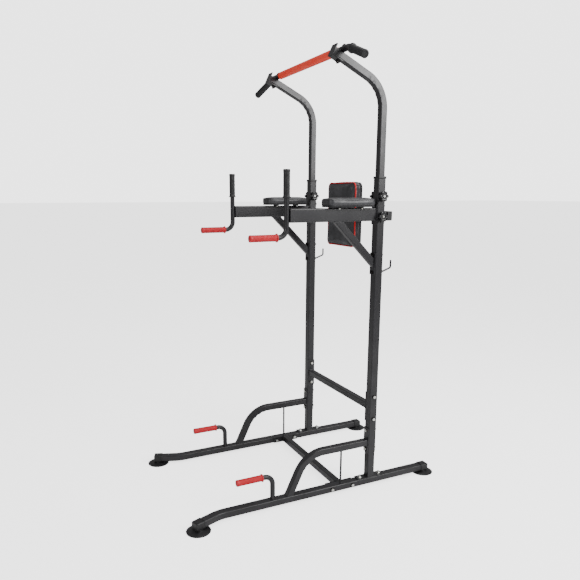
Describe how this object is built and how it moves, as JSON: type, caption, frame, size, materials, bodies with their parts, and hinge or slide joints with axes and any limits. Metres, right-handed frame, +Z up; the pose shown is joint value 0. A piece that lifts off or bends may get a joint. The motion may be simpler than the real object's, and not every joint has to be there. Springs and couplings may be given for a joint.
{
  "type": "power tower",
  "caption": "Free-standing pull-up and dip tower with a telescoping bent bar frame, padded dip arms, backrest, push-up handles and suction-cup feet.",
  "frame": {"origin": "on the floor, midway between the foremost and rearmost suction cups and midway between the uprights", "axes": "+Z up, -Y towards the front where the dip arms and bar reach, +X to the right-hand upright"},
  "size_m": [0.9926, 1.2648, 1.911],
  "materials": {
    "black_coat": "black powder coat, satin",
    "black_plastic": "moulded black plastic",
    "knob_plastic": "moulded black plastic with a steel screw",
    "cup_rubber": "soft black rubber",
    "black_grip": "ribbed black rubber",
    "red_grip": "ribbed red rubber",
    "red_foam": "textured orange-red rubber foam",
    "pad_vinyl": "black vinyl over foam"
  },
  "bodies": {
    "base_frame": {"front_rail_right": "black_coat", "front_rail_left": "black_coat", "rear_rail_right": "black_coat", "rear_rail_left": "black_coat", "front_shoe_right": "black_plastic", "front_shoe_left": "black_plastic", "rear_shoe_right": "black_plastic", "rear_shoe_left": "black_plastic", "front_cup_right": "cup_rubber", "front_cup_left": "cup_rubber", "rear_cup_right": "cup_rubber", "rear_cup_left": "cup_rubber", "floor_brace_right": "black_coat", "floor_brace_left": "black_coat", "push_up_handle_right": "black_coat", "push_up_handle_left": "black_coat", "push_up_grip_right": "red_grip", "push_up_grip_left": "red_grip", "foot_tube_right": "black_coat", "foot_tube_left": "black_coat", "upright_right": "black_coat", "upright_left": "black_coat", "post_collar_right": "black_plastic", "post_collar_left": "black_plastic", "band_hook_right": "black_coat", "band_hook_left": "black_coat", "dip_arm_right": "black_coat", "dip_arm_left": "black_coat", "arm_brace_right": "black_coat", "arm_brace_left": "black_coat", "dip_handle_right": "black_coat", "dip_handle_left": "black_coat", "dip_top_grip_right": "black_grip", "dip_top_grip_left": "black_grip", "dip_front_grip_right": "red_grip", "dip_front_grip_left": "red_grip", "arm_pad_right": "pad_vinyl", "arm_pad_left": "pad_vinyl", "backrest_tube_cap_right": "black_plastic", "backrest_tube_cap_left": "black_plastic", "base_cross_tube": "black_coat", "lower_crossbar": "black_coat", "backrest_pad": "pad_vinyl", "backrest_tube": "black_coat"},
    "pull_up_frame": {"bent_post_right": "black_coat", "bent_post_left": "black_coat", "post_glide_right": "black_plastic", "post_glide_left": "black_plastic", "bar_saddle_right": "black_coat", "bar_saddle_left": "black_coat", "end_grip_right": "black_grip", "end_grip_left": "black_grip", "pull_up_bar": "black_coat", "centre_grip": "red_foam"},
    "upper_clamp_right": {"upper_clamp_knob_right": "knob_plastic"},
    "lower_clamp_right": {"lower_clamp_knob_right": "knob_plastic"},
    "height_pin_body_right": {"height_pin_right": "knob_plastic"},
    "upper_clamp_left": {"upper_clamp_knob_left": "knob_plastic"},
    "lower_clamp_left": {"lower_clamp_knob_left": "knob_plastic"},
    "height_pin_body_left": {"height_pin_left": "knob_plastic"}
  },
  "joints": [
    {"name": "height_slide", "type": "slide", "parent": "base_frame", "child": "pull_up_frame", "axis": [0, 0, 1], "range_m": [0, 0.24]},
    {"name": "upper_clamp_turn_right", "type": "hinge", "parent": "base_frame", "child": "upper_clamp_right", "pos_m": [0.33, 0.267, 1.333], "axis": [1, 0, 0], "continuous": true},
    {"name": "lower_clamp_turn_right", "type": "hinge", "parent": "base_frame", "child": "lower_clamp_right", "pos_m": [0.33, 0.267, 1.249], "axis": [1, 0, 0], "continuous": true},
    {"name": "height_pin_pull_right", "type": "slide", "parent": "base_frame", "child": "height_pin_body_right", "axis": [-1, 0, 0], "range_m": [0, 0.008], "stiffness_N_per_m": 700},
    {"name": "upper_clamp_turn_left", "type": "hinge", "parent": "base_frame", "child": "upper_clamp_left", "pos_m": [-0.33, 0.267, 1.333], "axis": [1, 0, 0], "continuous": true},
    {"name": "lower_clamp_turn_left", "type": "hinge", "parent": "base_frame", "child": "lower_clamp_left", "pos_m": [-0.33, 0.267, 1.249], "axis": [1, 0, 0], "continuous": true},
    {"name": "height_pin_pull_left", "type": "slide", "parent": "base_frame", "child": "height_pin_body_left", "axis": [1, 0, 0], "range_m": [0, 0.008], "stiffness_N_per_m": 700}
  ]
}
